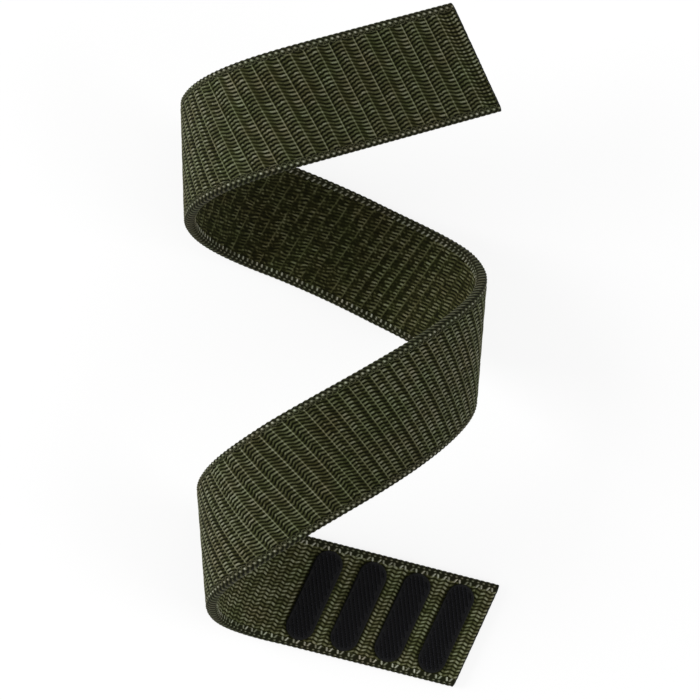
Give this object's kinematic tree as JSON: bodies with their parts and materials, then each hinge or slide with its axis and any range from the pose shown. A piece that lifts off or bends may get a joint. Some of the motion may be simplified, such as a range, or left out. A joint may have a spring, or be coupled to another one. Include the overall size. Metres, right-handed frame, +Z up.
{
  "type": "nylon loop watch band",
  "caption": "Woven nylon loop watch strap resting as an open coil, with beaded edges, heat-sealed ends and hook pads on the tail.",
  "frame": {"origin": "centre of the tail's flat underside, on the table", "axes": "+Z up from the table, +Y along the coil from the tail towards the far end, +X towards the two free ends, across the coil"},
  "size_m": [0.0632, 0.1202, 0.0387],
  "materials": {
    "loops": "olive woven nylon loop pile with crosswise ribs, matte with a soft yarn sheen",
    "web": "olive woven nylon ground, fine and matte",
    "edges": "olive beaded selvedge of looped nylon yarn",
    "seal": "dark melted nylon, slightly glossy",
    "hook_base": "black moulded nylon base, matte",
    "hooks": "black field of fine moulded hooks in slanting rows"
  },
  "bodies": {
    "tail": {"loops_tail": "loops", "web_tail": "web", "edges_tail": "edges", "seal_tail": "seal", "hook_base_1": "hook_base", "hook_base_2": "hook_base", "hook_base_3": "hook_base", "hook_base_4": "hook_base", "hook_field_1": "hooks", "hook_field_2": "hooks", "hook_field_3": "hooks", "hook_field_4": "hooks"},
    "near_1": {"loops_near_1": "loops", "web_near_1": "web", "edges_near_1": "edges"},
    "near_2": {"loops_near_2": "loops", "web_near_2": "web", "edges_near_2": "edges"},
    "near_3": {"loops_near_3": "loops", "web_near_3": "web", "edges_near_3": "edges"},
    "near_4": {"loops_near_4": "loops", "web_near_4": "web", "edges_near_4": "edges"},
    "crest_1": {"loops_crest_1": "loops", "web_crest_1": "web", "edges_crest_1": "edges"},
    "crest_2": {"loops_crest_2": "loops", "web_crest_2": "web", "edges_crest_2": "edges"},
    "right_1": {"loops_right_1": "loops", "web_right_1": "web", "edges_right_1": "edges"},
    "right_2": {"loops_right_2": "loops", "web_right_2": "web", "edges_right_2": "edges"},
    "right_3": {"loops_right_3": "loops", "web_right_3": "web", "edges_right_3": "edges"},
    "ground": {"loops_ground": "loops", "web_ground": "web", "edges_ground": "edges"},
    "far_1": {"loops_far_1": "loops", "web_far_1": "web", "edges_far_1": "edges"},
    "far_2": {"loops_far_2": "loops", "web_far_2": "web", "edges_far_2": "edges"},
    "far_3": {"loops_far_3": "loops", "web_far_3": "web", "edges_far_3": "edges"},
    "far_4": {"loops_far_4": "loops", "web_far_4": "web", "edges_far_4": "edges"},
    "head": {"loops_head": "loops", "web_head": "web", "edges_head": "edges", "seal_head": "seal"}
  },
  "joints": [
    {"name": "flex_tail_near_1", "type": "hinge", "parent": "tail", "child": "near_1", "pos_m": [-0.01781, 0.00428, 0], "axis": [0, -1, 0], "range_deg": [-4, 18.5], "stiffness_Nm_per_rad": 0.03},
    {"name": "flex_near_1_near_2", "type": "hinge", "parent": "near_1", "child": "near_2", "pos_m": [-0.02843, 0.00738, 0.00355], "axis": [0.0315, -0.9986, 0.0418], "range_deg": [-8, 37], "stiffness_Nm_per_rad": 0.03},
    {"name": "near_bend", "type": "hinge", "parent": "near_2", "child": "near_3", "pos_m": [-0.03477, 0.01155, 0.01278], "axis": [0.1005, -0.9945, 0.0288], "range_deg": [-8, 37], "stiffness_Nm_per_rad": 0.03},
    {"name": "flex_near_3_near_4", "type": "hinge", "parent": "near_3", "child": "near_4", "pos_m": [-0.03428, 0.01678, 0.02397], "axis": [0.0718, -0.997, -0.0275], "range_deg": [-8, 37], "stiffness_Nm_per_rad": 0.03},
    {"name": "flex_near_4_crest_1", "type": "hinge", "parent": "near_4", "child": "crest_1", "pos_m": [-0.02716, 0.02308, 0.03262], "axis": [0.026, -0.9988, -0.0417], "range_deg": [-7.76, 38.31], "stiffness_Nm_per_rad": 0.03},
    {"name": "crest_bend", "type": "hinge", "parent": "crest_1", "child": "crest_2", "pos_m": [-0.0083, 0.03466, 0.03671], "axis": [0, -1, 0], "range_deg": [-8, 39.5], "stiffness_Nm_per_rad": 0.03},
    {"name": "flex_crest_2_right_1", "type": "hinge", "parent": "crest_2", "child": "right_1", "pos_m": [0.00885, 0.04524, 0.02788], "axis": [-0.0294, -0.9992, -0.0275], "range_deg": [-7.6, 41.8], "stiffness_Nm_per_rad": 0.03},
    {"name": "right_bend", "type": "hinge", "parent": "right_1", "child": "right_2", "pos_m": [0.0133, 0.05147, 0.01619], "axis": [-0.0657, -0.9978, 0.0015], "range_deg": [-8, 44], "stiffness_Nm_per_rad": 0.03},
    {"name": "flex_right_2_right_3", "type": "hinge", "parent": "right_2", "child": "right_3", "pos_m": [0.00831, 0.0574, 0.00472], "axis": [-0.0366, -0.9986, 0.0374], "range_deg": [-8, 44], "stiffness_Nm_per_rad": 0.03},
    {"name": "flex_right_3_ground", "type": "hinge", "parent": "right_3", "child": "ground", "pos_m": [-0.00327, 0.06303, 0], "axis": [0, -1, 0], "range_deg": [-4, 22], "stiffness_Nm_per_rad": 0.03},
    {"name": "flex_ground_far_1", "type": "hinge", "parent": "ground", "child": "far_1", "pos_m": [-0.02127, 0.07023, 0], "axis": [0, -1, 0], "range_deg": [-4, 22.75], "stiffness_Nm_per_rad": 0.03},
    {"name": "flex_far_1_far_2", "type": "hinge", "parent": "far_1", "child": "far_2", "pos_m": [-0.03516, 0.0752, 0.00588], "axis": [0.0219, -0.9995, 0.0213], "range_deg": [-8, 45.5], "stiffness_Nm_per_rad": 0.03},
    {"name": "far_bend", "type": "hinge", "parent": "far_2", "child": "far_3", "pos_m": [-0.04061, 0.08004, 0.01994], "axis": [0.061, -0.9981, -0.0019], "range_deg": [-8, 45.5], "stiffness_Nm_per_rad": 0.03},
    {"name": "flex_far_3_far_4", "type": "hinge", "parent": "far_3", "child": "far_4", "pos_m": [-0.03431, 0.08473, 0.03365], "axis": [0.0206, -0.9995, -0.0226], "range_deg": [-8, 45.5], "stiffness_Nm_per_rad": 0.03},
    {"name": "flex_far_4_head", "type": "hinge", "parent": "far_4", "child": "head", "pos_m": [-0.02009, 0.08928, 0.03866], "axis": [0, -1, 0], "range_deg": [-4, 22.75], "stiffness_Nm_per_rad": 0.03}
  ],
  "couplings": [
    {"joint": "flex_tail_near_1", "follows": "near_bend", "ratio": 0.5},
    {"joint": "flex_near_1_near_2", "follows": "near_bend", "ratio": 1},
    {"joint": "flex_near_3_near_4", "follows": "near_bend", "ratio": 1},
    {"joint": "flex_near_4_crest_1", "follows": "crest_bend", "ratio": 0.97},
    {"joint": "flex_crest_2_right_1", "follows": "right_bend", "ratio": 0.95},
    {"joint": "flex_right_2_right_3", "follows": "right_bend", "ratio": 1},
    {"joint": "flex_right_3_ground", "follows": "right_bend", "ratio": 0.5},
    {"joint": "flex_ground_far_1", "follows": "far_bend", "ratio": 0.5},
    {"joint": "flex_far_1_far_2", "follows": "far_bend", "ratio": 1},
    {"joint": "flex_far_3_far_4", "follows": "far_bend", "ratio": 1},
    {"joint": "flex_far_4_head", "follows": "far_bend", "ratio": 0.5}
  ]
}
